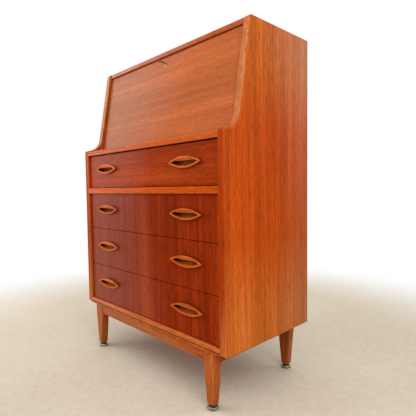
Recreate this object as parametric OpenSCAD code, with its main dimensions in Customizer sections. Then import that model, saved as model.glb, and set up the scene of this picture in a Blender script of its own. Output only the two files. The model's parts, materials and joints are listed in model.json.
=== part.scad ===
// Secretary desk: a chest of four drawers on a leg frame, under a sloping writing flap.
// +X is to the right, +Y to the back, +Z up. The origin is on the floor, under the middle.

/* [Carcass] */
// Width over the two sides
carcass_w = 800; // [740:5:860]
// Depth of the sides, from front edge to back edge
carcass_d = 415; // [405:5:440]
// Height from the floor to the top
height = 1141; // [1121:5:1161]
// Thickness of the veneered sides
side_t = 22; // [20:1:25]
// Thickness of the solid lipping on the front edges
lipping_t = 6; // [5:0.5:8]
// Thickness of the top panel
top_t = 17; // [16:1:20]
// Thickness of the ledge board above the first drawer
ledge_t = 17; // [15:1:20]
// Thickness of the bottom panel
bottom_t = 18; // [16:1:20]
// Thickness of the back panel
back_t = 5; // [4:0.5:7]
// Distance of the back panel's face from the back edge of the sides
back_inset = 2; // [1:0.5:4]
// Width of the rebate that holds the back panel
back_lap = 9; // [7:1:12]

/* [Sloping front] */
// Height at which the sides step back, at their front edge
shoulder_z = 808.5; // [800:0.5:815]
// How far the sides stand above the ledge
shoulder_step = 3.5; // [2:0.5:6]
// Rise of the shoulder, in degrees
shoulder_rise = 14; // [11:1:16]
// Distance behind the front edge at which the slope would meet the shoulder
slope_foot = 60; // [58:0.5:68]
// Lean of the slope from upright, in degrees
lean = 9.7; // [8.7:0.1:10.5]
// Radius of the cove between shoulder and slope
cove_r = 58; // [50:1:64]
// Radius of the top and bottom corners of a side's front edge
nose_r = 7; // [4:1:10]
// Radius of the shoulder's front corner
shoulder_r = 3; // [2:0.5:4]

/* [Top edge] */
// Depth of the solid front edge of the top
top_edge_t = 10; // [8:1:12]
// How far the top's front edge lies behind the slope
top_setback = 4.5; // [2:0.5:6]

/* [Flap] */
// Thickness of the flap
flap_t = 18; // [17:0.5:20]
// How far the flap's face lies behind the slope
flap_setback = 11.5; // [10:0.5:14]
// Gap at each side of the flap
flap_gap = 1.5; // [1:0.1:2]
// Gap between the flap's upper edge and the top
flap_top_gap = 2; // [2:0.1:3.5]
// Thickness of the lip under the flap's lower edge
lip_t = 10; // [9:0.5:11]
// Length of the lip below the hinge line
lip_len = 10; // [8:0.5:11]
// Width of the stop batten behind the flap's upper edge
stop_t = 14; // [12:1:18]
// Height of the stop batten
stop_h = 20; // [16:1:24]

/* [Interior fitment] */
// Depth of the pigeonholes
fitment_d = 230; // [200:5:240]
// Thickness of the shelf and the dividers
fitment_t = 9; // [8:1:12]
// Clear height below the shelf
shelf_z = 150; // [120:5:180]
// Number of upright dividers below the shelf
lower_dividers = 2; // [1:1:3]
// Number of upright dividers above the shelf
upper_dividers = 3; // [1:1:4]

/* [Drawers] */
// Height of the second drawer's bay, under the divider rail
drawer_2_h = 140; // [134:0.5:146]
// Height of the third drawer's bay
drawer_3_h = 149; // [140:0.5:152]
// Height of the fourth drawer's bay
drawer_4_h = 145.5; // [138:0.5:149]
// Height of the divider rail
rail_h = 21; // [18:1:24]
// Depth of the divider rail
rail_d = 60; // [50:1:80]
// How far the drawer fronts lie behind the front edges
front_recess = 9.5; // [7:0.5:11]
// Thickness of the drawer fronts
front_t = 20; // [19:0.5:22]
// Gap round the drawer fronts
reveal = 2; // [1.5:0.1:2.5]
// Gap above the first drawer
top_reveal = 4; // [3:0.5:5]
// Thickness of the drawer sides
drawer_side_t = 13; // [12:0.5:15]
// Thickness of the drawer backs
drawer_back_t = 12; // [10:1:14]
// Thickness of the drawer bottoms
drawer_bottom_t = 5; // [4:0.5:6]
// Depth of the groove that holds a drawer bottom
bottom_groove = 4; // [3:0.5:5]
// Height of a drawer side above the lower edge of its front
side_lift = 8; // [6:1:12]
// How far a drawer side stays below the upper edge of its front
side_drop = 18; // [14:1:24]
// Space behind the closed drawers
drawer_back_gap = 15; // [10:1:25]
// Height of a runner
runner_h = 14; // [12:1:18]
// How far a runner enters its groove
runner_grip = 7; // [6:0.5:8]

/* [Pulls] */
// Length of a pull
pull_w = 148; // [130:2:160]
// Height of a pull
pull_h = 35; // [32:1:40]
// How far a pull stands in front of its drawer
pull_proud = 10.5; // [9:0.5:12]
// How far a pull is let into its drawer
pull_inset = 12; // [10:0.5:13]
// How far the front edge of a pull stands out round its body
pull_flange = 2; // [1.5:0.5:3]
// Thickness of that edge, in front of the undercut
pull_edge_t = 3.5; // [2.5:0.5:5]
// Width of the rim round the hollow
pull_rim = 5; // [4:0.5:6]
// From the front of a pull to the back of the grip that fingers hook behind
pull_grip_t = 6; // [4:0.5:7]
// How far the grip slopes back from the rim at its lower edge
pull_grip_slope = 3; // [2:0.5:3.5]
// Height of the grip's lower edge above the middle of the pull
pull_grip_z = 5; // [3:0.5:6]
// Depth of the hollow behind the drawer's face
pull_hollow = 9; // [7:0.5:9]
// Radius of the hollow's rounded floor
pull_scoop_r = 17; // [14:0.5:17.5]
// Distance of a pull's middle from the middle of the desk
pull_x = 234; // [200:2:244]
// Height of a pull's middle above the middle of the drawer front
pull_z = 8.5; // [0:0.5:12]

/* [Base] */
// Height of the underside of the carcass above the floor
leg_h = 179; // [159:2:199]
// Width of a leg at the top
leg_top_w = 50; // [45:1:55]
// Depth of a leg at the top
leg_top_d = 32.5; // [29:0.5:38]
// Width of a leg at the foot
leg_foot_w = 28; // [25:0.5:32]
// Depth of a leg at the foot
leg_foot_d = 26.5; // [23:0.5:30]
// Chamfer on the corners of a leg
leg_chamfer = 4; // [2:0.5:5]
// Distance of a leg's middle from the outside of the desk
leg_inset_x = 74; // [60:1:90]
// Distance of a leg's middle from the front and the back edge of the sides
leg_inset_y = 22; // [20:1:30]
// Height of the aprons between the legs
apron_h = 36; // [30:1:44]
// Thickness of the aprons
apron_t = 18; // [16:1:20]
// How far the aprons lie behind the faces of the legs
apron_setback = 3; // [2:0.5:5]
// Height of the moulding above the bottom panel's front edge
moulding_h = 16; // [15:0.5:20]
// Depth of the moulding
moulding_d = 18; // [16:1:22]
// How far the moulding stands in front of the sides
moulding_proud = 2; // [0:0.5:3]
// Height of the bottom panel's edge seen under the moulding
sill_h = 4.5; // [4:0.5:6]

/* [Glides] */
// Radius of a glide's disc
glide_r = 17; // [15:0.5:19]
// Height of the disc
glide_disc_h = 10; // [8:0.5:11]
// Radius of the dark cup above the disc
glide_cup_r = 12; // [10:0.5:12.5]
// Height of the cup
glide_cup_h = 8; // [6:0.5:10]
// Radius of a glide's stem
stem_r = 3; // [2.5:0.5:4]
// Length of the stem in the leg
stem_len = 20; // [15:1:30]

/* [Hinges and stays] */
// Length of a flap hinge
hinge_w = 54; // [45:1:66]
// Depth of a hinge leaf
leaf_d = 24; // [22:1:30]
// Thickness of a hinge leaf
leaf_t = 2; // [1.5:0.1:2.5]
// Radius of a hinge knuckle
knuckle_r = 3; // [2.8:0.1:3.5]
// Radius of a hinge pin
pin_r = 1.2; // [1:0.1:1.5]
// Distance of a hinge's middle from the middle of the desk
hinge_x = 250; // [200:5:290]
// Radius of the slot in a quadrant stay
stay_r = 38; // [34:0.5:39]
// Width of a quadrant stay
stay_w = 7; // [6.5:0.1:8]
// Thickness of a quadrant stay
stay_t = 2.5; // [2:0.1:3]
// Radius of the stud that runs in the slot
stud_r = 1.5; // [1.3:0.1:1.8]
// Length of the foot that fastens a stay to the flap
stay_foot_l = 26; // [24:1:28]
// Width of that foot
stay_foot_w = 13; // [12:1:16]

/* [Lock] */
// Width of the lock's plate
lock_plate_w = 72; // [66:1:84]
// Width of the lock's case
lock_w = 50; // [44:1:54]
// Height of the lock
lock_h = 38; // [36:1:42]
// Depth of the lock's case
lock_d = 12; // [11:0.5:13]
// Wall of the lock's case
lock_wall = 1.5; // [1.2:0.1:2]
// Distance of the keyhole from the flap's upper edge
keyhole_drop = 22; // [21:0.5:26]
// Width of the bolt
bolt_w = 20; // [16:1:24]
// Thickness of the bolt
bolt_t = 3; // [2.5:0.1:3.5]
// Travel of the bolt
bolt_throw = 8; // [7:0.5:9]
// Radius of the key's shank
key_r = 2.2; // [1.8:0.1:2.5]
// Length of the key in front of the flap, up to its bow
key_reach = 21; // [18:1:26]
// Length of the key's bit
bit_len = 7; // [6:0.5:8]
// Outer radius of the key's bow
bow_r = 6.5; // [6:0.5:9]
// Thickness of the key's bow
bow_t = 2; // [1.6:0.1:3]
// Width of the escutcheon
escutcheon_w = 10; // [9:0.5:12]
// Height of the escutcheon
escutcheon_h = 17; // [16:0.5:20]
// Thickness of the escutcheon
escutcheon_t = 1; // [0.8:0.1:1.5]
// Length of the strike plate
strike_w = 44; // [40:1:54]
// Width of the strike plate
strike_d = 13; // [12:0.5:14]

/* [Screws] */
// Radius of a screw's shank
screw_r = 1.4; // [1.2:0.1:1.6]
// Radius of a screw's head
screw_head_r = 2.8; // [2.5:0.1:3]
// Length of a screw
screw_len = 12; // [10:0.5:13]
// Number of screws in each side of the back panel
back_screws = 4; // [3:1:7]

/* [Hidden] */

$fn = 96;

// Clearances
slip = 0.2;         // between two pieces of one body that are put together by hand
screw_slip = 0.1;   // round a screw
pin_slip = 0.05;    // round a hinge pin, in a knuckle that turns on it
stud_slip = 0.2;    // round a stud, in the slot of a stay
hinge_slip = 0.4;   // round a knuckle, and between knuckles
flap_slip = 0.5;    // between the flap's lower edge and the interior floor
swing_slip = 1.4;   // under the lip as it swings
runner_slip = 1;    // round a runner, in its groove
stop_slip = 0.3;    // between the closed flap and its stop
key_slip = 0.5;     // round the key, in the keyhole
bolt_room = 1.5;    // round the bolt, in the strike plate
stay_room = 3;      // between a stay and the side, and between a stay and the floor
over = 1;           // how far a cut runs past the surface that it opens
bite = 0.01;        // how far the circle of a rounded corner or end reaches past its edges
bottom_lift = 6;    // from the lower edge of a drawer's sides up to its bottom
screw_margin = 30;  // from the ends of the back panel to its first and last screws
stud_head_t = 1.5;  // thickness of a stud's head
stud_depth = 8;     // depth of a stud in its side
round_fn = 360;     // facets of the large curves

// Places that the pieces share
overhang = max(pull_proud - front_recess, moulding_proud);
front_y = (overhang - carcass_d) / 2;
back_y = front_y + carcass_d;
back_face_y = back_y - back_inset - back_t;
inner_x = carcass_w / 2 - side_t;
base_z = leg_h;
top_z = height - top_t;
ledge_z = shoulder_z - shoulder_step;
floor_t = norm([lip_len, flap_t]) + swing_slip;
floor_z = ledge_z + floor_t;
corner_z = shoulder_z + slope_foot * tan(shoulder_rise);
along_shoulder = [cos(shoulder_rise), sin(shoulder_rise)];
along_slope = [sin(lean), cos(lean)];
function slope_y(z, setback = 0) =
    front_y + slope_foot + (z - corner_z) * tan(lean) + setback / cos(lean);

// Flap: the hinge line is where its inner face meets the interior floor
hinge_z = floor_z;
hinge_y = slope_y(hinge_z, flap_setback + flap_t);
flap_len = (top_z - flap_top_gap - hinge_z - flap_t * sin(lean)) / cos(lean);
flap_half_w = inner_x - flap_gap;
opening = 90 + lean;
tongue_t = flap_t - lip_t - flap_slip;
top_edge_y = slope_y(top_z, top_setback) + top_edge_t;

// Hinges
leaf_screws = [-hinge_w / 3, 0, hinge_w / 3];
leaf_screw_d = (lip_len + swing_slip + leaf_d) / 2;
knuckle_w = hinge_w / 3;

// Stays: the stud lies just behind the closed flap
stay_x = inner_x - stay_room;
stud_head_r = stay_w / 2;
stud_gap = stud_head_r + slip;
head_x = stay_x - stay_t - slip;
stud_angle = 90 - asin(stud_gap / stay_r);
stay_end = asin(stay_w / 2 / stay_r);
tail_angle = stud_angle - opening - stay_end;
stay_notch_w = inner_x - stay_x + stay_t + stay_room;
foot_high = stay_r * sin(stud_angle) - stud_head_r - slip;
foot_low = foot_high - stay_foot_l;
foot_screws = [foot_low + stay_foot_l / 4, foot_high - stay_foot_l / 4];

// Lock
key_z = flap_len - keyhole_drop;
bolt_y = -lock_wall - slip - bolt_t;
bolt_low = key_z - bit_len;
bit_back = bolt_y - slip;
bit_front = -lock_d + slip;
lock_screw_x = (lock_plate_w + lock_w) / 4;
lock_screw_drops = [lock_h / 5, lock_h * 4 / 5];
bolt_top_y = hinge_y + flap_len * sin(lean) + (bolt_y + bolt_t / 2) * cos(lean);
strike_hole_d = bolt_t + bolt_throw * sin(lean) + 2 * bolt_room;
strike_hole_w = bolt_w + 2 * bolt_room;
strike_screw_x = (strike_w + strike_hole_w) / 4;
strike_y = bolt_top_y + bolt_throw * sin(lean) / 2;

// Drawers: number 1 is above the divider rail, 2 to 4 share the bay below it
moulding_top_z = base_z + sill_h + moulding_h;
rail_z = moulding_top_z + drawer_4_h + drawer_3_h + drawer_2_h;
face_y = front_y + front_recess;
front_back_y = face_y + front_t;
box_end_y = back_face_y - drawer_back_gap;
box_half_w = inner_x - reveal;
runner_side = reveal + runner_grip;
bay_low = [0, rail_z + rail_h, rail_z - drawer_2_h, moulding_top_z + drawer_4_h, moulding_top_z];
bay_high = [0, ledge_z - ledge_t, rail_z, rail_z - drawer_2_h, moulding_top_z + drawer_4_h];
function drawer_low(n) = bay_low[n] + (n == 1 ? reveal : reveal / 2);
function drawer_high(n) = bay_high[n] - (n == 1 ? top_reveal : n == 2 ? reveal : reveal / 2);
function box_low(n) = drawer_low(n) + side_lift;
function box_high(n) = drawer_high(n) - side_drop;
function box_mid(n) = (box_low(n) + box_high(n)) / 2;
function pull_mid(n) = (drawer_low(n) + drawer_high(n)) / 2 + pull_z;
function slot_z(n) = box_low(n) + bottom_lift;

// Pulls: the outline is where two circles overlap
pull_arc_r = (pow(pull_w / 2, 2) + pow(pull_h / 2, 2)) / pull_h;
pull_arc_z = pull_arc_r - pull_h / 2;

// Legs and glides
glide_h = glide_disc_h + glide_cup_h;
leg_x = carcass_w / 2 - leg_inset_x;
leg_front_y = front_y + leg_inset_y;
leg_rear_y = back_y - leg_inset_y;
apron_low_z = base_z - apron_h;
apron_face_x = leg_x + leg_top_w / 2 - apron_setback;
apron_face_d = leg_top_d / 2 - apron_setback;

// Interior fitment
fitment_y = back_face_y - fitment_d;
shelf_low_z = floor_z + shelf_z;

// Colours
teak = "#c0622d";
teak_light = "#cf7a3c";
teak_dark = "#8f3c1c";
teak_edge = "#d9854a";
beech = "#d8b98a";
plywood = "#caa777";
brass = "#c9a24a";
steel = "#8d8f92";
nickel = "#c9c6bd";
dark_cup = "#3a3632";

// ---- Helpers -------------------------------------------------------------------

// An outline in the YZ plane, extruded from x0 to x1
module along_x(x0, x1) {
    translate([x0, 0, 0])
        rotate([90, 0, 90])
            linear_extrude(x1 - x0)
                children();
}

// A box between two corners
module block(low, high) {
    translate(low)
        cube(high - low);
}

// Both halves of something that is symmetrical about the middle of the desk
module both_sides() {
    children();
    mirror([1, 0, 0])
        children();
}

// The flap's own frame: X along the hinge, Y behind the inner face, Z up the flap
module in_flap() {
    translate([0, hinge_y, hinge_z])
        rotate([-lean, 0, 0])
            children();
}

function unit(v) = v / norm(v);
function away(d, other) = -unit(other - (other * d) * d);

// What rounds the corner p between two edges that leave it along d1 and d2
module corner_patch(p, d1, d2, r) {
    half = acos(d1 * d2) / 2;
    reach = r / tan(half);
    n1 = away(d1, d2);
    n2 = away(d2, d1);
    difference() {
        polygon([
            p + reach * d1,
            p + reach * d1 + over * n1,
            p + over * (n1 + n2) / (1 + n1 * n2),
            p + reach * d2 + over * n2,
            p + reach * d2,
        ]);
        translate(p + unit(d1 + d2) * (r - bite) / sin(half))
            circle(r);
    }
}

// A pointed oval, drawn in by inset all round
module eye(inset = 0) {
    intersection() {
        translate([0, pull_arc_z])
            circle(pull_arc_r - inset, $fn = round_fn);
        translate([0, -pull_arc_z])
            circle(pull_arc_r - inset, $fn = round_fn);
    }
}

// An upright outline, extruded from y0 to y1
module along_y(y0, y1) {
    translate([0, y1, 0])
        rotate([90, 0, 0])
            linear_extrude(y1 - y0)
                children();
}

// A countersunk screw, or the hole for it, pointing down from z = 0
module screw(len = screw_len, slack = 0) {
    translate([0, 0, -len - slack])
        cylinder(h = len + slack, r = screw_r + slack);
    translate([0, 0, screw_r - screw_head_r])
        cylinder(h = screw_head_r - screw_r, r1 = screw_r + slack, r2 = screw_head_r + slack);
}

// ---- Sides ---------------------------------------------------------------------

// Outline of a side before its corners are rounded: the front edge is drawn back by inset,
// and the other edges run past their places by past
module side_shape(inset, past = 0) {
    shoulder_up = [-sin(shoulder_rise), cos(shoulder_rise)];
    slope_out = [-cos(lean), sin(lean)];
    corner = [front_y + slope_foot, corner_z]
        - inset * (shoulder_up + slope_out) / (1 + shoulder_up * slope_out);
    polygon([
        [front_y + inset, base_z - past],
        [front_y + inset, shoulder_z + inset * (sin(shoulder_rise) - 1) / cos(shoulder_rise)],
        corner,
        [slope_y(height + past, inset), height + past],
        [back_y + past, height + past],
        [back_y + past, base_z - past],
    ]);
    corner_patch(corner, -along_shoulder, along_slope, cove_r + inset);
}

// What the rounded corners take off the front edge of a side
module front_roundings() {
    corner_patch([front_y, shoulder_z], [0, -1], along_shoulder, shoulder_r);
    corner_patch([slope_y(height), height], -along_slope, [1, 0], nose_r);
    corner_patch([front_y, base_z], [1, 0], [0, 1], nose_r);
}

// Height of each screw that holds the back panel
function back_screw_z(i) =
    base_z + screw_margin + i * (top_z - base_z - 2 * screw_margin) / (back_screws - 1);

module back_screw_places() {
    for (i = [0 : back_screws - 1])
        translate([inner_x + back_lap / 2, back_face_y + back_t, back_screw_z(i)])
            rotate([-90, 0, 0])
                children();
}

module side_right() {
    color(teak)
        difference() {
            along_x(inner_x, inner_x + side_t)
                difference() {
                    side_shape(lipping_t);
                    front_roundings();
                }
            block([inner_x - over, back_face_y, base_z - over], [inner_x + back_lap, back_y + over, top_z]);
            back_screw_places()
                screw(slack = screw_slip);
            stud_rod(stud_r + screw_slip, inner_x - over, inner_x + stud_depth + screw_slip);
        }
}

module side_left() {
    mirror([1, 0, 0])
        side_right();
}

module side_lippings() {
    color(teak_edge)
        both_sides()
            along_x(inner_x, inner_x + side_t)
                difference() {
                    side_shape(0);
                    side_shape(lipping_t, over);
                    front_roundings();
                }
}

// ---- Top, ledge, rails, bottom and back ------------------------------------------

module top_panel() {
    color(teak)
        difference() {
            block([-inner_x, top_edge_y, top_z], [inner_x, back_y, height]);
            strike_recess();
        }
}

module top_edge() {
    color(teak_edge)
        along_x(-inner_x, inner_x)
            polygon([
                [slope_y(top_z, top_setback), top_z],
                [slope_y(height, top_setback), height],
                [top_edge_y, height],
                [top_edge_y, top_z],
            ]);
}

module ledge_board() {
    color(teak)
        block([-inner_x, front_y + lipping_t, ledge_z - ledge_t], [inner_x, back_face_y, ledge_z]);
}

module ledge_edge() {
    color(teak_light)
        block([-inner_x, front_y, ledge_z - ledge_t], [inner_x, front_y + lipping_t, ledge_z]);
}

module divider_rail() {
    color(teak_light)
        block([-inner_x, front_y, rail_z], [inner_x, front_y + rail_d, rail_z + rail_h]);
}

module bottom_panel() {
    color(teak)
        difference() {
            block([-inner_x, front_y, base_z], [inner_x, back_face_y, base_z + bottom_t]);
            block([-inner_x - over, front_y - over, base_z + sill_h],
                [inner_x + over, front_y - moulding_proud + moulding_d, base_z + bottom_t + over]);
        }
}

// The moulding's nose is a half round as high as the moulding
module bottom_moulding() {
    nose = moulding_h / 2;
    tip_y = front_y - moulding_proud;
    color(teak_light)
        along_x(-inner_x, inner_x)
            translate([tip_y, base_z + sill_h]) {
                translate([nose, nose])
                    circle(nose);
                translate([nose, 0])
                    square([moulding_d - nose, moulding_h]);
            }
}

module back_panel() {
    color(plywood)
        difference() {
            block([-inner_x - back_lap, back_face_y, base_z],
                [inner_x + back_lap, back_face_y + back_t, top_z]);
            both_sides()
                back_screw_places()
                    screw(slack = screw_slip);
        }
}

module drawer_runners() {
    color(beech)
        both_sides()
            for (n = [1 : 4])
                block([inner_x - runner_side, front_back_y + reveal, box_mid(n) - runner_h / 2],
                    [inner_x, box_end_y, box_mid(n) + runner_h / 2]);
}

// ---- Base ------------------------------------------------------------------------

// Outline of a leg across one face, upright below the aprons' depth and tapered from there down
module leg_outline(top, foot) {
    polygon([
        [-top / 2, base_z],
        [-top / 2, apron_low_z],
        [-foot / 2, glide_h],
        [foot / 2, glide_h],
        [top / 2, apron_low_z],
        [top / 2, base_z],
    ]);
}

// The four faces and the four chamfers of a leg are the sides of four tapered slabs
module leg(x, y) {
    chamfer_loss = leg_chamfer * sqrt(2);
    top_diagonal = (leg_top_w + leg_top_d) / sqrt(2) - chamfer_loss;
    foot_diagonal = (leg_foot_w + leg_foot_d) / sqrt(2) - chamfer_loss;
    color(teak)
        translate([x, y, 0])
            difference() {
                intersection() {
                    along_y(-leg_top_d, leg_top_d)
                        leg_outline(leg_top_w, leg_foot_w);
                    along_x(-leg_top_w, leg_top_w)
                        leg_outline(leg_top_d, leg_foot_d);
                    for_diagonal(45)
                        leg_outline(top_diagonal, foot_diagonal);
                    for_diagonal(-45)
                        leg_outline(top_diagonal, foot_diagonal);
                }
                translate([0, 0, glide_h - over])
                    cylinder(h = stem_len + over, r = stem_r + slip);
            }
}

module for_diagonal(angle) {
    rotate([0, 0, angle])
        along_y(-leg_top_w, leg_top_w)
            children();
}

module apron_across(y) {
    color(teak)
        block([-leg_x + leg_top_w / 2, y, apron_low_z], [leg_x - leg_top_w / 2, y + apron_t, base_z]);
}

module apron_front() {
    apron_across(leg_front_y - apron_face_d);
}

module apron_rear() {
    apron_across(leg_rear_y + apron_face_d - apron_t);
}

module apron_right() {
    color(teak)
        block([apron_face_x - apron_t, leg_front_y + leg_top_d / 2, apron_low_z],
            [apron_face_x, leg_rear_y - leg_top_d / 2, base_z]);
}

module apron_left() {
    mirror([1, 0, 0])
        apron_right();
}

module at_feet() {
    for (x = [-leg_x, leg_x], y = [leg_front_y, leg_rear_y])
        translate([x, y, 0])
            children();
}

module glide_discs() {
    roll = glide_disc_h / 2;
    color(nickel)
        at_feet() {
            cylinder(h = glide_disc_h, r = glide_r - roll);
            translate([0, 0, roll])
                rotate_extrude()
                    translate([glide_r - roll, 0])
                        circle(roll);
            cylinder(h = glide_h + stem_len, r = stem_r);
        }
}

module glide_cups() {
    color(dark_cup)
        at_feet()
            translate([0, 0, glide_disc_h])
                difference() {
                    cylinder(h = glide_cup_h, r = glide_cup_r);
                    translate([0, 0, -over])
                        cylinder(h = glide_cup_h + 2 * over, r = stem_r + slip);
                }
}

// ---- Interior ----------------------------------------------------------------------

module interior_floor() {
    color(teak)
        difference() {
            block([-inner_x, hinge_y + flap_slip, ledge_z], [inner_x, back_face_y, floor_z]);
            block([-inner_x - over, hinge_y, ledge_z - over],
                [inner_x + over, hinge_y + lip_len + swing_slip, floor_z - tongue_t]);
            both_sides() {
                stay_notch();
                hinge_recess();
            }
        }
}

// Room for the tail of a stay below the floor
module stay_notch() {
    block([inner_x - stay_notch_w, hinge_y, ledge_z - over],
        [inner_x + over, hinge_y + stay_r + stay_w, floor_z + over]);
}

module hinge_recess() {
    block([hinge_x - hinge_w / 2 - slip, hinge_y, floor_z - leaf_t],
        [hinge_x + hinge_w / 2 + slip, hinge_y + leaf_d + slip, floor_z + over]);
    at_hinge(-slip, hinge_w + slip)
        circle(knuckle_r + hinge_slip);
    for (x = leaf_screws)
        translate([hinge_x + x, hinge_y + leaf_screw_d, floor_z])
            screw(slack = screw_slip);
}

module interior_shelf() {
    color(teak_light)
        block([-inner_x, fitment_y, shelf_low_z], [inner_x, back_face_y, shelf_low_z + fitment_t]);
}

module divider_row(count, low, high) {
    pitch = 2 * inner_x / (count + 1);
    for (i = [1 : count])
        block([-inner_x + i * pitch - fitment_t / 2, fitment_y, low],
            [-inner_x + i * pitch + fitment_t / 2, back_face_y, high]);
}

module interior_dividers() {
    color(teak_light) {
        divider_row(lower_dividers, floor_z, shelf_low_z);
        divider_row(upper_dividers, shelf_low_z + fitment_t, top_z);
    }
}

module flap_stop() {
    low_z = top_z - stop_h;
    behind = flap_setback + flap_t + stop_slip;
    color(teak)
        along_x(-inner_x, inner_x)
            polygon([
                [slope_y(low_z, behind), low_z],
                [slope_y(top_z, behind), top_z],
                [slope_y(top_z, behind + stop_t), top_z],
                [slope_y(top_z, behind + stop_t), low_z],
            ]);
}

// ---- Hinges ------------------------------------------------------------------------

// An outline about the hinge line, from one place along the right-hand hinge to another
module at_hinge(from, to) {
    translate([0, hinge_y, hinge_z])
        along_x(hinge_x - hinge_w / 2 + from, hinge_x - hinge_w / 2 + to)
            children();
}

module fixed_leaf() {
    difference() {
        union() {
            block([hinge_x - hinge_w / 2, hinge_y, hinge_z - leaf_t],
                [hinge_x + hinge_w / 2, hinge_y + leaf_d, hinge_z]);
            at_hinge(0, hinge_w)
                circle(knuckle_r);
        }
        at_hinge(knuckle_w - hinge_slip / 2, 2 * knuckle_w + hinge_slip / 2)
            circle(knuckle_r + hinge_slip);
        at_hinge(-over, hinge_w + over)
            circle(pin_r + pin_slip);
        for (x = leaf_screws)
            translate([hinge_x + x, hinge_y + leaf_screw_d, hinge_z])
                screw(slack = screw_slip);
    }
}

module hinge_fixed_leaves() {
    color(brass)
        both_sides()
            fixed_leaf();
}

module moving_leaf() {
    difference() {
        union() {
            in_flap()
                block([hinge_x - hinge_w / 2, -leaf_t, 0], [hinge_x + hinge_w / 2, 0, leaf_d]);
            at_hinge(knuckle_w, 2 * knuckle_w)
                circle(knuckle_r);
        }
        at_hinge(-over, knuckle_w + hinge_slip / 2)
            circle(knuckle_r + hinge_slip);
        at_hinge(2 * knuckle_w - hinge_slip / 2, hinge_w + over)
            circle(knuckle_r + hinge_slip);
        at_hinge(-over, hinge_w + over)
            circle(pin_r + pin_slip);
        leaf_flap_screws(screw_slip);
    }
}

module hinge_moving_leaves() {
    color(brass)
        both_sides()
            moving_leaf();
}

module hinge_pins() {
    color(steel)
        both_sides()
            at_hinge(0, hinge_w)
                circle(pin_r);
}

// ---- Flap --------------------------------------------------------------------------

// A screw driven into the flap's inner face
module flap_screw(x, z, slack) {
    translate([x, 0, z])
        rotate([-90, 0, 0])
            screw(slack = slack);
}

module leaf_flap_screws(slack) {
    in_flap()
        for (x = leaf_screws)
            flap_screw(hinge_x + x, leaf_screw_d, slack);
}

module foot_flap_screws(slack) {
    in_flap()
        translate([0, stay_t, 0])
            for (z = foot_screws)
                flap_screw(stay_x - stay_foot_w / 2 - stay_t / 2, z, slack);
}

module lock_flap_screws(slack) {
    in_flap()
        for (drop = lock_screw_drops)
            flap_screw(lock_screw_x, flap_len - drop, slack);
}

module all_flap_screws(slack) {
    both_sides() {
        leaf_flap_screws(slack);
        foot_flap_screws(slack);
        lock_flap_screws(slack);
    }
}

module flap_screws() {
    color(brass)
        all_flap_screws(0);
}

// Outline of the keyhole, about the middle of the key's shank
module keyhole() {
    circle(key_r + key_slip);
    translate([-bow_t / 2 - key_slip, -bit_len - key_slip])
        square([bow_t + 2 * key_slip, bit_len + key_slip]);
}

// Outline of the escutcheon, about the middle of the key's shank
module escutcheon_outline(slack) {
    r = escutcheon_w / 2 + slack;
    straight = escutcheon_h - escutcheon_w;
    translate([0, (straight - bit_len) / 2]) {
        circle(r);
        translate([0, -straight])
            circle(r);
        translate([-r, -straight])
            square([2 * r, straight]);
    }
}

module flap() {
    plate_half = lock_plate_w / 2 + slip;
    case_half = lock_w / 2 + slip;
    color(teak)
        difference() {
            in_flap()
                difference() {
                    union() {
                        block([-flap_half_w, -flap_t, flap_slip], [flap_half_w, 0, flap_len]);
                        block([-flap_half_w, -flap_t, -lip_len], [flap_half_w, lip_t - flap_t, flap_slip]);
                    }
                    block([-plate_half, -lock_wall, flap_len - lock_h - slip],
                        [plate_half, over, flap_len + over]);
                    block([-case_half, -lock_d, flap_len - lock_h - slip],
                        [case_half, over, flap_len + over]);
                    translate([0, 0, key_z]) {
                        along_y(-flap_t - over, -lock_d + over)
                            keyhole();
                        along_y(-flap_t - over, escutcheon_t - flap_t)
                            escutcheon_outline(slip);
                    }
                    both_sides()
                        block([hinge_x - hinge_w / 2 - slip, -leaf_t, -over],
                            [hinge_x + hinge_w / 2 + slip, over, leaf_d + slip]);
                }
            both_sides()
                at_hinge(-slip, hinge_w + slip)
                    circle(knuckle_r + hinge_slip);
            all_flap_screws(screw_slip);
        }
}

// ---- Stays -------------------------------------------------------------------------

// A ring about the hinge line, between two angles from the flap's rear normal up to the flap
module ring_part(r, w, from, to) {
    middle = (from + to) / 2;
    intersection() {
        difference() {
            circle(r + w / 2);
            circle(r - w / 2);
        }
        polygon([
            [0, 0],
            2 * r * [cos(from), sin(from)],
            3 * r * [cos(middle), sin(middle)],
            2 * r * [cos(to), sin(to)],
        ]);
    }
}

module quadrant_stays() {
    color(brass)
        difference() {
            both_sides()
                in_flap()
                    difference() {
                        union() {
                            along_x(stay_x - stay_t, stay_x)
                                ring_part(stay_r, stay_w, tail_angle, 90);
                            block([stay_x - stay_foot_w, 0, foot_low], [stay_x, stay_t, foot_high]);
                            block([stay_x - stay_t, 0, foot_low], [stay_x, stay_t, stay_r + stay_w / 2]);
                        }
                        along_x(stay_x - stay_t - over, stay_x + over) {
                            slot_w = 2 * (stud_r + stud_slip);
                            ring_part(stay_r, slot_w, stud_angle - opening, stud_angle);
                            for (a = [stud_angle - opening, stud_angle])
                                translate(stay_r * [cos(a), sin(a)])
                                    circle(slot_w / 2 + bite);
                        }
                    }
            both_sides()
                foot_flap_screws(screw_slip);
        }
}

// A round rod through the right-hand stay's slot, from x0 to x1
module stud_rod(r, x0, x1) {
    in_flap()
        translate([0, stay_r * cos(stud_angle), stay_r * sin(stud_angle)])
            along_x(x0, x1)
                circle(r);
}

module stay_studs() {
    color(brass)
        both_sides() {
            stud_rod(stud_r, head_x - stud_head_t, inner_x + stud_depth);
            stud_rod(stud_head_r, head_x - stud_head_t, head_x);
        }
}

// ---- Lock --------------------------------------------------------------------------

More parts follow.
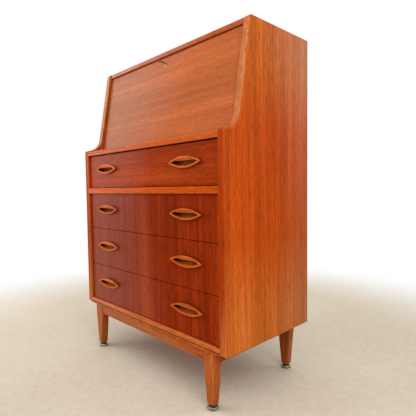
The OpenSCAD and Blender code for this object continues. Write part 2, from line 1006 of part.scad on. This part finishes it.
module lock_case() {
    case_half = lock_w / 2;
    low = flap_len - lock_h;
    color(brass)
        difference() {
            in_flap()
                difference() {
                    union() {
                        block([-lock_plate_w / 2, -lock_wall, low], [lock_plate_w / 2, 0, flap_len]);
                        block([-case_half, -lock_d, low], [case_half, 0, flap_len]);
                    }
                    block([-case_half + lock_wall, -lock_d - over, low + lock_wall],
                        [case_half - lock_wall, -lock_wall, flap_len - lock_wall]);
                    block([-bolt_w / 2 - slip, bolt_y - slip, flap_len - lock_wall - over],
                        [bolt_w / 2 + slip, bolt_y + bolt_t + slip / 2, flap_len + over]);
                }
            both_sides()
                lock_flap_screws(screw_slip);
        }
}

module lock_bolt() {
    color(steel)
        in_flap()
            block([-bolt_w / 2, bolt_y, bolt_low], [bolt_w / 2, bolt_y + bolt_t, flap_len]);
}

module escutcheon() {
    color(brass)
        in_flap()
            translate([0, 0, key_z])
                along_y(-flap_t, escutcheon_t - flap_t)
                    difference() {
                        escutcheon_outline(0);
                        keyhole();
                    }
}

module key() {
    bow_y = -flap_t - key_reach;
    color(steel)
        in_flap()
            translate([0, 0, key_z]) {
                along_y(bow_y, bit_back)
                    circle(key_r);
                block([-bow_t / 2, bit_front, -bit_len], [bow_t / 2, bit_back, 0]);
                translate([0, bow_y - bow_r + bow_t, 0])
                    along_x(-bow_t / 2, bow_t / 2)
                        difference() {
                            circle(bow_r);
                            circle(bow_r - bow_t);
                        }
            }
}

module strike_hole() {
    block([-strike_hole_w / 2, strike_y - strike_hole_d / 2, top_z - over],
        [strike_hole_w / 2, strike_y + strike_hole_d / 2, top_z + bolt_throw]);
}

module strike_screw_places() {
    for (x = [-strike_screw_x, strike_screw_x])
        translate([x, strike_y, top_z])
            rotate([180, 0, 0])
                children();
}

module strike_recess() {
    block([-strike_w / 2 - slip, strike_y - strike_d / 2, top_z - over],
        [strike_w / 2 + slip, strike_y + strike_d / 2, top_z + lock_wall]);
    strike_hole();
    strike_screw_places()
        screw(slack = screw_slip);
}

module strike_plate() {
    color(brass)
        difference() {
            block([-strike_w / 2, strike_y - strike_d / 2 + slip, top_z],
                [strike_w / 2, strike_y + strike_d / 2 - slip, top_z + lock_wall]);
            strike_hole();
            strike_screw_places()
                screw(slack = screw_slip);
        }
}

module carcass_screws() {
    color(brass) {
        both_sides() {
            back_screw_places()
                screw();
            for (x = leaf_screws)
                translate([hinge_x + x, hinge_y + leaf_screw_d, floor_z])
                    screw();
        }
        strike_screw_places()
            screw();
    }
}

// ---- Drawers -----------------------------------------------------------------------

module at_pulls(n) {
    for (x = [-pull_x, pull_x])
        translate([x, face_y, pull_mid(n)])
            children();
}

module drawer_bottom_slot(n, slack) {
    half_w = box_half_w - drawer_side_t + bottom_groove + slack;
    block([-half_w, front_back_y - bottom_groove - slack, slot_z(n)],
        [half_w, box_end_y + slack, slot_z(n) + drawer_bottom_t]);
}

module drawer_front(n) {
    color(n == 1 ? teak : teak_dark)
        difference() {
            block([-inner_x + reveal, face_y, drawer_low(n)],
                [inner_x - reveal, front_back_y, drawer_high(n)]);
            at_pulls(n)
                along_y(-over, pull_inset)
                    eye(pull_flange);
            drawer_bottom_slot(n, slip);
        }
}

module drawer_sides(n) {
    color(beech)
        both_sides()
            difference() {
                block([box_half_w - drawer_side_t, front_back_y, box_low(n)],
                    [box_half_w, box_end_y, box_high(n)]);
                block([box_half_w - runner_grip - runner_slip, front_back_y - over,
                        box_mid(n) - runner_h / 2 - runner_slip / 2],
                    [box_half_w + over, box_end_y + over, box_mid(n) + runner_h / 2 + runner_slip / 2]);
                drawer_bottom_slot(n, slip);
            }
}

module drawer_back(n) {
    color(beech)
        block([-box_half_w + drawer_side_t, box_end_y - drawer_back_t, slot_z(n) + drawer_bottom_t],
            [box_half_w - drawer_side_t, box_end_y, box_high(n)]);
}

module drawer_bottom(n) {
    color(plywood)
        drawer_bottom_slot(n, 0);
}

// The outside of a pull: an edge all round its front, and a body undercut behind it
module pull_body() {
    edge_back = pull_edge_t - pull_proud;
    along_y(-pull_proud, edge_back)
        eye();
    along_y(edge_back, pull_inset)
        eye(pull_flange + slip);
}

// What is cut out of a pull: a sloping face above, the mouth below it, and a round hollow
module pull_opening() {
    front = -pull_proud;
    grip_back = front + pull_grip_t;
    scoop_y = pull_hollow - pull_scoop_r;
    along_x(-pull_w / 2, pull_w / 2) {
        polygon([
            [front - over, -pull_h],
            [front - over, pull_h / 2],
            [front, pull_h / 2],
            [front + pull_grip_slope, pull_grip_z],
            [grip_back + over, pull_grip_z],
            [grip_back + over, -pull_h],
        ]);
        intersection() {
            translate([scoop_y, pull_grip_z])
                circle(pull_scoop_r, $fn = round_fn);
            translate([grip_back, -pull_h])
                square([pull_hollow - grip_back + over, 2 * pull_h]);
        }
    }
}

module drawer_pulls(n) {
    color(teak_edge)
        at_pulls(n)
            difference() {
                pull_body();
                intersection() {
                    along_y(-pull_proud - over, pull_hollow + over)
                        eye(pull_rim);
                    pull_opening();
                }
            }
}

// ---- Output ------------------------------------------------------------------------

side_left();
side_right();
side_lippings();
top_panel();
top_edge();
ledge_board();
ledge_edge();
divider_rail();
bottom_panel();
bottom_moulding();
back_panel();
drawer_runners();
leg(-leg_x, leg_front_y);  // leg_front_left
leg(leg_x, leg_front_y);  // leg_front_right
leg(-leg_x, leg_rear_y);  // leg_rear_left
leg(leg_x, leg_rear_y);  // leg_rear_right
apron_front();
apron_rear();
apron_left();
apron_right();
glide_cups();
glide_discs();
interior_floor();
interior_shelf();
interior_dividers();
flap_stop();
hinge_fixed_leaves();
hinge_pins();
stay_studs();
strike_plate();
carcass_screws();
flap();
hinge_moving_leaves();
quadrant_stays();
lock_case();
escutcheon();
flap_screws();
lock_bolt();
key();
drawer_front(1);  // drawer_1_front
drawer_sides(1);  // drawer_1_sides
drawer_back(1);  // drawer_1_back
drawer_bottom(1);  // drawer_1_bottom
drawer_pulls(1);  // drawer_1_pulls
drawer_front(2);  // drawer_2_front
drawer_sides(2);  // drawer_2_sides
drawer_back(2);  // drawer_2_back
drawer_bottom(2);  // drawer_2_bottom
drawer_pulls(2);  // drawer_2_pulls
drawer_front(3);  // drawer_3_front
drawer_sides(3);  // drawer_3_sides
drawer_back(3);  // drawer_3_back
drawer_bottom(3);  // drawer_3_bottom
drawer_pulls(3);  // drawer_3_pulls
drawer_front(4);  // drawer_4_front
drawer_sides(4);  // drawer_4_sides
drawer_back(4);  // drawer_4_back
drawer_bottom(4);  // drawer_4_bottom
drawer_pulls(4);  // drawer_4_pulls
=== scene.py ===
"""Looks of the secretary desk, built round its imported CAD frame."""
import json
import math

import bpy
from mathutils import Matrix, Vector


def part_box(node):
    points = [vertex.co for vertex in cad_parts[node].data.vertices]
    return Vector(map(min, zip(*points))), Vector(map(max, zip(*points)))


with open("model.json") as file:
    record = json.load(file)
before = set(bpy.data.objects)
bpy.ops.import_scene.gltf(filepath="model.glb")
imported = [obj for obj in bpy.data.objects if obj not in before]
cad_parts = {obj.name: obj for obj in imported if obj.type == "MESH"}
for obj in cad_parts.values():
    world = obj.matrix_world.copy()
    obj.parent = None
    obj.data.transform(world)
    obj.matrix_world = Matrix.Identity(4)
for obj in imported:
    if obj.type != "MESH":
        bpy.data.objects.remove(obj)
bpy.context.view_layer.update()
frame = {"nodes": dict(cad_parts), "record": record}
nodes = frame["nodes"]


# ---- Camera ------------------------------------------------------------------------

def make_camera(place, turn, down, tilt, lens):
    """A camera at place, in metres. Its lens is in mm and its angles are in radians: turn to
    the left of straight ahead, down below the horizon, and tilt about the line of sight."""
    ahead = Vector((-math.sin(turn), math.cos(turn), 0))
    right = Vector((math.cos(turn), math.sin(turn), 0))
    up = Vector((0, 0, 1))
    view = ahead * math.cos(down) - up * math.sin(down)
    above = up * math.cos(down) + ahead * math.sin(down)
    x = right * math.cos(tilt) + above * math.sin(tilt)
    y = above * math.cos(tilt) - right * math.sin(tilt)
    camera = bpy.data.objects.new("camera", bpy.data.cameras.new("camera"))
    camera.data.lens = lens
    camera.data.sensor_width = 36
    camera.matrix_world = Matrix.Translation(place) @ Matrix((x, y, -view)).transposed().to_4x4()
    bpy.context.scene.collection.objects.link(camera)
    bpy.context.scene.camera = camera


make_camera(place=Vector((1.10678, -0.94394, 0.64692)), turn=0.8064, down=0.0501,
            tilt=-0.0123, lens=32.856)


# ---- Materials ---------------------------------------------------------------------

# Sockets of a colour Mix node
MIX_SHARE, MIX_FIRST, MIX_SECOND, MIX_RESULT = 0, 6, 7, 2
# Rays for each look round a point
EDGE_SAMPLES = 4
OPENNESS_SAMPLES = 6
# Cells to the metre in wood, across the grain and along it
BANDS = (15, 0.8)
LINES = (125, 2.2)
FLECKS = (230, 26)
PORES = (620, 70)
PORE_DEPTH = 0.0003


class Shader:
    """A material and short ways to add nodes to it."""

    def __init__(self, name):
        self.material = bpy.data.materials.new(name)
        self.material.use_nodes = True
        self.tree = self.material.node_tree
        self.bsdf = self.tree.nodes["Principled BSDF"]
        places = self.tree.nodes.new("ShaderNodeTexCoord").outputs
        self.coords = places["Object"]
        self.normals = places["Normal"]

    def node(self, kind, **values):
        made = self.tree.nodes.new("ShaderNode" + kind)
        for key, value in values.items():
            setattr(made, key, value)
        return made

    def link(self, out, into):
        self.tree.links.new(out, into)

    def noise(self, scale, detail=3.0, rough=0.55, distortion=0.0, at=(0, 0, 0)):
        """Noise with scale cells to the metre along X, Y and Z."""
        place = self.node("Mapping")
        place.inputs["Scale"].default_value = scale
        place.inputs["Location"].default_value = at
        made = self.node("TexNoise")
        made.inputs["Scale"].default_value = 1.0
        made.inputs["Detail"].default_value = detail
        made.inputs["Roughness"].default_value = rough
        made.inputs["Distortion"].default_value = distortion
        self.link(self.coords, place.inputs["Vector"])
        self.link(place.outputs["Vector"], made.inputs["Vector"])
        return made.outputs["Fac"]

    def ramp(self, value, *stops):
        """stops are (place, colour) or (place, grey)."""
        made = self.node("ValToRGB")
        points = made.color_ramp.elements
        while len(points) < len(stops):
            points.new(0.5)
        for point, (place, colour) in zip(points, stops):
            point.position = place
            point.color = (*colour, 1) if hasattr(colour, "__len__") else (colour,) * 3 + (1,)
        self.link(value, made.inputs["Fac"])
        return made.outputs["Color"]

    def multiply(self, first, second, share=1.0):
        return self.blend(first, second, share, "MULTIPLY")

    def blend(self, first, second, share, way="MIX"):
        made = self.node("Mix", data_type="RGBA", blend_type=way)
        self.link(first, made.inputs[MIX_FIRST])
        self.link(second, made.inputs[MIX_SECOND])
        if isinstance(share, float):
            made.inputs[MIX_SHARE].default_value = share
        else:
            self.link(share, made.inputs[MIX_SHARE])
        return made.outputs[MIX_RESULT]

    def edges(self, radius):
        """1 on the arrises and 0 on the faces."""
        soft = self.node("Bevel", samples=EDGE_SAMPLES)
        soft.inputs["Radius"].default_value = radius
        true = self.node("NewGeometry")
        dot = self.node("VectorMath", operation="DOT_PRODUCT")
        self.link(soft.outputs["Normal"], dot.inputs[0])
        self.link(true.outputs["Normal"], dot.inputs[1])
        return self.ramp(dot.outputs["Value"], (0.80, 1.0), (0.985, 0.0))

    def openness(self, reach, *stops):
        """A ramp over how open a point is to what lies beyond reach."""
        share = self.node("AmbientOcclusion", samples=OPENNESS_SAMPLES)
        share.inputs["Distance"].default_value = reach
        return self.ramp(share.outputs["AO"], *stops)

    def painted_gap_shade(self, reach):
        """Where shade is painted: 0 in gaps and recesses narrower than reach, and 1 on open
        faces.
        """
        return self.openness(reach, (0.3, 0.0), (0.85, 1.0))

    def shaded(self, reach, darkest=0.3):
        """Painted shade: 1 in the open, and down to darkest under and between pieces within
        reach.
        """
        return self.openness(reach, (0.25, darkest), (0.62, 1.0))

    def sideways(self):
        """1 on faces that look to the left or right, and 0 on the others."""
        parts = self.node("SeparateXYZ")
        self.link(self.normals, parts.inputs[0])
        size = self.node("Math", operation="ABSOLUTE")
        self.link(parts.outputs["X"], size.inputs[0])
        return self.ramp(size.outputs[0], (0.75, 0.0), (0.95, 1.0))

    def tone(self, bands, colours, tints):
        """Dark, middle and light bands, each multiplied by tints that change along an axis."""
        base = self.ramp(bands, *zip((0.3, 0.5, 0.7), colours))
        for tint in tints:
            base = self.multiply(base, self.by_place(*tint))
        return base

    def by_place(self, axis, *stops):
        """stops are (metres along the axis, colour or grey), from the lowest up."""
        low, high = stops[0][0], stops[-1][0]
        parts = self.node("SeparateXYZ")
        self.link(self.coords, parts.inputs[0])
        share = self.node("MapRange")
        share.inputs["From Min"].default_value = low
        share.inputs["From Max"].default_value = high
        self.link(parts.outputs[axis], share.inputs["Value"])
        return self.ramp(share.outputs["Result"],
                         *(((place - low) / (high - low), colour) for place, colour in stops))

    def gloss(self, straight, slanting):
        """Gloss that grows from the first value, seen straight on, to the second at a slant."""
        self.set(Specular_IOR_Level=(straight + slanting) / 2)
        slant = self.node("LayerWeight")
        slant.inputs["Blend"].default_value = 0.5
        self.link(self.ramp(slant.outputs["Facing"], (0.42, straight), (0.58, slanting)),
                  self.bsdf.inputs["Specular IOR Level"])

    def bump(self, height, strength, distance):
        made = self.node("Bump")
        made.inputs["Strength"].default_value = strength
        made.inputs["Distance"].default_value = distance
        self.link(height, made.inputs["Height"])
        self.link(made.outputs["Normal"], self.bsdf.inputs["Normal"])

    def set(self, **values):
        for key, value in values.items():
            self.bsdf.inputs[key.replace("_", " ")].default_value = value


def srgb(r, g, b):
    """A colour written as it looks on a screen, 0 to 255, for a shader."""
    return tuple((c / 255 / 12.92) if c <= 10 else ((c / 255 + 0.055) / 1.055) ** 2.4
                 for c in (r, g, b))


def along(grain, cells, figure=1.0):
    """Cells to the metre along X, Y and Z, from those across the grain and along it.

    figure makes them that many times as narrow."""
    across, lengthwise = cells
    return tuple(lengthwise if axis == grain else across * figure for axis in "xyz")


def golden(base, gain, lift):
    """A colour made lighter and more golden."""
    return tuple(min(1, c * gain + lift * share) for c, share in zip(base, (1.0, 0.62, 0.16)))


def wood(name, grain, dark, middle, light, at=(0, 0, 0), rough=0.36, gloss=(0.02, 0.28),
         worn=0.4, arris=0.0016, figure=1.0, streaks=0.8, flecked=0.8, reach=0.006, shade=0.0,
         wear_lift=(1.5, 0.05), tints=(), side_face=None):
    """Veneer or solid wood: bands, fine lines, flecks, pores, arrises lightened by rubbing and
    by a painted highlight, and painted shade in gaps.

    worn is how much of the arrises is pale, from rubbing and painted highlight, and
    wear_lift how pale. reach is the width of the gaps that get painted shade, and shade how
    far off a piece still paints shade on the wood. tints are what it is multiplied by at
    given places along an axis, and side_face is the colours and tints of its sideways faces."""
    s = Shader(name)
    bands = s.noise(along(grain, BANDS, figure), 5.0, 0.6, 0.4, at)
    lines = s.noise(along(grain, LINES, figure), 4.0, 0.65, 0.12, at)
    flecks = s.noise(along(grain, FLECKS), 3.0, 0.62, 0.25, at)
    pores = s.noise(along(grain, PORES), 2.0, 0.5, 0.0, at)
    base = s.tone(bands, (dark, middle, light), tints)
    if side_face:
        base = s.blend(base, s.tone(bands, *side_face), s.sideways())
    base = s.multiply(
        base, s.ramp(lines, (0.34, 0.7), (0.48, 0.96), (0.58, 1.04), (0.68, 1.36)), streaks)
    base = s.multiply(
        base, s.ramp(flecks, (0.3, 0.42), (0.44, 0.96), (0.58, 1.04), (0.72, 1.28)), flecked)
    base = s.multiply(base, s.ramp(pores, (0.55, 1.0), (0.68, 0.5)), 0.7)
    # Arrises lightened partly by rubbing and partly by a painted highlight
    pale = s.ramp(bands, (0.2, light), (0.8, golden(light, *wear_lift)))
    wear = s.multiply(s.ramp(lines, (0.35, 0.1), (0.65, worn)), s.edges(arris))
    base = s.blend(base, pale, wear)
    # Painted shade under and between pieces
    if shade:
        base = s.multiply(base, s.shaded(shade))
    # Painted shade: gaps and recesses narrower than reach darken to 0.12 of the colour
    base = s.multiply(base, s.ramp(s.painted_gap_shade(reach), (0.0, 0.12), (1.0, 1.0)))
    s.link(base, s.bsdf.inputs["Base Color"])
    s.link(s.ramp(flecks, (0.3, rough + 0.1), (0.7, rough - 0.04)), s.bsdf.inputs["Roughness"])
    s.gloss(*gloss)
    s.bump(pores, 0.25, -PORE_DEPTH)
    return s.material


def metal(name, colour, dull, rough, metallic=1.0):
    """Metal with a fine brushed grain and duller, darker patches."""
    s = Shader(name)
    patches = s.noise((60, 60, 60), 4.0, 0.6)
    s.link(s.ramp(patches, (0.35, colour), (0.7, dull)), s.bsdf.inputs["Base Color"])
    brushed = s.noise((1400, 200, 1400), 2.0)
    s.link(s.ramp(patches, (0.3, rough), (0.75, rough + 0.18)), s.bsdf.inputs["Roughness"])
    s.set(Metallic=metallic)
    s.bump(brushed, 0.15, 0.0001)
    return s.material


def shades(middle, spread):
    """Dark, middle and light shades about one colour."""
    base = srgb(*middle)
    dark = tuple(c * (1 - 1.3 * spread) for c in base)
    return dark, base, golden(base, 1 + 1.2 * spread, 0.12 * spread)


def teak(name, grain, middle, spread=0.16, **more):
    """Teak about one colour, with darker and lighter bands."""
    return wood(name, grain, *shades(middle, spread), **more)


# Painted sheen: the lippings' fronts keep a pale colour where they lean back above the ledge
# # and near the foot, and are red between; their sideways faces take the sides' colours
ledge_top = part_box("ledge_edge")[1][2]
LIPPING_SHEEN_TINTS = (("Z", (0.18, (0.9, 0.72, 0.5)), (0.36, (0.74, 0.25, 0.02)),
                  (ledge_top, (0.74, 0.25, 0.02)), (ledge_top + 0.05, 1.0)),)
# Painted sheen makes the sides pale near the top and the foot, and painted shade makes them
# # darker towards the back
SIDE_SHEEN_AND_SHADE_TINTS = (("Z", (0.25, (1.04, 1.75, 3.4)), (0.5, (0.96, 0.95, 1.0)),
               (0.82, (0.96, 0.95, 1.0)), (1.02, (1.0, 1.55, 2.0))),
              ("Y", (0.02, 1.0), (0.2, (0.78, 1.0, 1.9))))

SIDE_COLOUR = (192, 76, 15)
SIDE_SPREAD = 0.2

LOOKS = {
    "teak_side": teak("teak_side", "z", SIDE_COLOUR, SIDE_SPREAD, figure=1.3, tints=SIDE_SHEEN_AND_SHADE_TINTS),
    # The lippings' arrises get a strong painted highlight besides rubbing
    "teak_lipping": teak("teak_lipping", "z", (208, 122, 76), at=(0.3, 0.1, 0.7), worn=1.0,
                         wear_lift=(2.0, 0.2), gloss=(0.02, 0.15),
                         side_face=(shades(SIDE_COLOUR, SIDE_SPREAD), SIDE_SHEEN_AND_SHADE_TINTS),
                         tints=LIPPING_SHEEN_TINTS),
    "teak_top": teak("teak_top", "x", (196, 92, 42)),
    "teak_inside": teak("teak_inside", "x", (178, 86, 44), at=(0.5, 0.4, 0.2), rough=0.5),
    # Solid teak, the legs among it, gets painted shade under and between pieces
    "teak_solid": teak("teak_solid", "z", (182, 94, 42), at=(0.1, 0.6, 0.3), worn=0.5,
                       shade=0.3),
    # The flap's left end is made greyer, a painted reflection
    "teak_flap": teak("teak_flap", "x", (196, 104, 54), 0.14, at=(0.2, 0.2, 0.9), figure=2.2,
                      streaks=0.35, flecked=0.3, gloss=(0.02, 0.2),
                      tints=(("X", (-0.3, (0.82, 0.95, 1.0)), (0.1, 1.0)),)),
    "teak_drawer_top": teak("teak_drawer_top", "x", (158, 53, 5), 0.2, at=(0.7, 0.2, 0.1),
                            figure=1.3, gloss=(0.015, 0.24)),
    "teak_drawer": teak("teak_drawer", "z", (146, 44, 4), 0.18, at=(0.4, 0.3, 0.6), streaks=1.0,
                        flecked=1.0, gloss=(0.02, 0.46)),
    "beech": teak("beech", "y", (208, 176, 132), 0.08, rough=0.55, worn=0.1),
    "plywood": teak("plywood", "x", (190, 152, 106), 0.1, rough=0.6, worn=0.1),
    "brass": metal("brass", srgb(196, 160, 92), srgb(138, 104, 52), 0.32),
    "brass_screw": metal("brass_screw", srgb(188, 150, 84), srgb(120, 88, 44), 0.35),
    "steel": metal("steel", srgb(176, 176, 178), srgb(120, 120, 124), 0.35),
    "nickel": metal("nickel", srgb(206, 202, 194), srgb(150, 144, 134), 0.28),
    "dark_plastic": metal("dark_plastic", srgb(44, 40, 38), srgb(28, 26, 25), 0.5, 0.0),
}

# Pieces whose grain, rubbed and painted-highlight arrises, or painted shade differ from the
# # rest of their slot
# The top edge's arrises get a strong painted highlight besides rubbing
EDGE_TEAK = teak("edge_teak", "x", (188, 94, 50), at=(0.1, 0.2, 0.3), worn=1.0, reach=0.0045,
                 wear_lift=(1.9, 0.1))
LEDGE_TEAK = teak("ledge_teak", "x", (206, 92, 30), at=(0.5, 0.8, 0.3), worn=0.8, reach=0.0045)
RAIL_TEAK = teak("rail_teak", "x", (216, 88, 14), at=(0.6, 0.2, 0.4), worn=0.7, reach=0.0045)
MOULDING_TEAK = teak("moulding_teak", "x", (200, 102, 46), at=(0.3, 0.3, 0.4), worn=0.7)
# The aprons get painted shade under and between pieces
APRON_TEAK = teak("apron_teak", "x", (176, 90, 42), at=(0.2, 0.5, 0.5), worn=0.5, shade=0.3)
CROSS_TEAK = teak("cross_teak", "y", (170, 84, 38), at=(0.2, 0.7, 0.5), worn=0.4, shade=0.3)
# The pulls get deep painted shade in their recesses, and a strong painted highlight on their
# arrises besides rubbing
PULL_TEAK = teak("pull_teak", "x", (204, 92, 28), at=(0.9, 0.1, 0.5), worn=1.0, arris=0.003,
                 reach=0.02, rough=0.28, gloss=(0.06, 0.25), wear_lift=(1.9, 0.12))
OWN_LOOKS = {
    "top_edge": EDGE_TEAK, "ledge_edge": LEDGE_TEAK, "divider_rail": RAIL_TEAK,
    "bottom_moulding": MOULDING_TEAK, "apron_front": APRON_TEAK, "apron_rear": APRON_TEAK,
    "apron_left": CROSS_TEAK, "apron_right": CROSS_TEAK,
    "escutcheon": metal("worn_escutcheon", srgb(150, 140, 108), srgb(92, 86, 64), 0.4),
    "key": metal("worn_key", srgb(118, 114, 104), srgb(58, 54, 48), 0.42),
    "glide_discs": metal("worn_nickel", srgb(168, 156, 134), srgb(104, 92, 74), 0.4),
    **{f"drawer_{n}_pulls": PULL_TEAK for n in range(1, 5)},
}

for part in frame["record"]["subparts"]:
    mesh = nodes[part["node"]].data
    mesh.materials.clear()
    mesh.materials.append(OWN_LOOKS.get(part["node"], LOOKS[part["material_slot"]]))


# ---- Softened arrises --------------------------------------------------------------

WELD_REACH = 0.00001
BEVEL_SEGMENTS = 3
SHARP = math.radians(50)
BEVELS = {"top_edge": 0.002, "ledge_edge": 0.0008, "flap": 0.001, "divider_rail": 0.0007,
          "bottom_moulding": 0.001, "side_lippings": 0.002,
          **{f"drawer_{n}_pulls": 0.0016 for n in range(1, 5)}}

for name, width in BEVELS.items():
    weld = nodes[name].modifiers.new("weld", "WELD")
    weld.merge_threshold = WELD_REACH
    bevel = nodes[name].modifiers.new("bevel", "BEVEL")
    bevel.width = width
    bevel.segments = BEVEL_SEGMENTS
    bevel.limit_method = "ANGLE"
    bevel.angle_limit = SHARP


# ---- Floor, lights and background --------------------------------------------------

FLOOR_REACH = 8.0
FADE_START, FADE_END = 1.0, 1.9


def make_floor():
    """A wide pale floor, with painted shadow under and near the desk, that fades to the white
    background far from the desk.
    """
    mesh = bpy.data.meshes.new("floor")
    corners = [(x * FLOOR_REACH, y * FLOOR_REACH, 0)
               for x, y in ((-1, -1), (1, -1), (1, 1), (-1, 1))]
    mesh.from_pydata(corners, [], [(0, 1, 2, 3)])
    floor = bpy.data.objects.new("floor", mesh)
    bpy.context.scene.collection.objects.link(floor)
    s = Shader("floor")
    tone = s.noise((2, 2, 2), 4.0)
    pile = s.ramp(tone, (0.3, srgb(225, 212, 188)), (0.7, srgb(233, 221, 200)))
    tufts = s.noise((38, 38, 38), 6.0, 0.7)
    pile = s.multiply(pile, s.ramp(tufts, (0.35, 0.93), (0.65, 1.04)))
    # Painted shadow: the floor darkens to 0.615 of its colour under and near the desk
    s.link(s.multiply(pile, s.shaded(0.3, darkest=0.615)), s.bsdf.inputs["Base Color"])
    s.set(Roughness=0.75, Specular_IOR_Level=0.2)
    s.bump(s.noise((90, 90, 90), 4.0), 0.1, 0.001)
    far = s.node("VectorMath", operation="LENGTH")
    s.link(s.coords, far.inputs[0])
    seen = s.node("LightPath")
    fade = s.node("MapRange", interpolation_type="SMOOTHSTEP")
    fade.inputs["From Min"].default_value = FADE_START
    fade.inputs["From Max"].default_value = FADE_END
    s.link(far.outputs["Value"], fade.inputs["Value"])
    share = s.node("Math", operation="MULTIPLY")
    s.link(fade.outputs["Result"], share.inputs[0])
    s.link(seen.outputs["Is Camera Ray"], share.inputs[1])
    white = s.node("Emission")
    mix = s.node("MixShader")
    s.link(share.outputs["Value"], mix.inputs[0])
    s.link(s.bsdf.outputs[0], mix.inputs[1])
    s.link(white.outputs[0], mix.inputs[2])
    s.link(mix.outputs[0], s.tree.nodes["Material Output"].inputs["Surface"])
    mesh.materials.append(s.material)


def make_lamp(name, place, target, size, power):
    """A round lamp at place, aimed at target, with its size in metres and power in watts."""
    lamp = bpy.data.objects.new(name, bpy.data.lights.new(name, "AREA"))
    lamp.data.shape = "DISK"
    lamp.data.size = size
    lamp.data.energy = power
    lamp.location = place
    aim = Vector(target) - Vector(place)
    lamp.rotation_euler = aim.to_track_quat("-Z", "Y").to_euler()
    bpy.context.scene.collection.objects.link(lamp)


def make_world(ambient):
    """Even light of that strength, and a white background to what sees it directly."""
    world = bpy.data.worlds.new("world")
    bpy.context.scene.world = world
    world.use_nodes = True
    tree = world.node_tree
    seen = tree.nodes.new("ShaderNodeLightPath")
    either = tree.nodes.new("ShaderNodeMath")
    either.operation = "MAXIMUM"
    any_of = tree.nodes.new("ShaderNodeMath")
    any_of.operation = "MAXIMUM"
    tree.links.new(seen.outputs["Is Camera Ray"], either.inputs[0])
    tree.links.new(seen.outputs["Is Glossy Ray"], either.inputs[1])
    tree.links.new(either.outputs[0], any_of.inputs[0])
    tree.links.new(seen.outputs["Is Transmission Ray"], any_of.inputs[1])
    strength = tree.nodes.new("ShaderNodeMapRange")
    strength.inputs["To Min"].default_value = ambient
    tree.links.new(any_of.outputs[0], strength.inputs["Value"])
    sky = tree.nodes["Background"]
    sky.inputs["Color"].default_value = (1, 1, 1, 1)
    tree.links.new(strength.outputs["Result"], sky.inputs["Strength"])


make_floor()
make_world(ambient=0.62)
make_lamp("key_lamp", (-2.4, -2.2, 2.1), (0, 0, 0.6), size=2.6, power=52)
make_lamp("side_lamp", (2.7, -1.1, 2.2), (0.2, 0, 0.5), size=2.2, power=42)
make_lamp("back_lamp", (2.3, 2.6, 2.1), (0.3, 0.1, 0.6), size=1.8, power=16)

bpy.context.scene.view_settings.view_transform = "Standard"
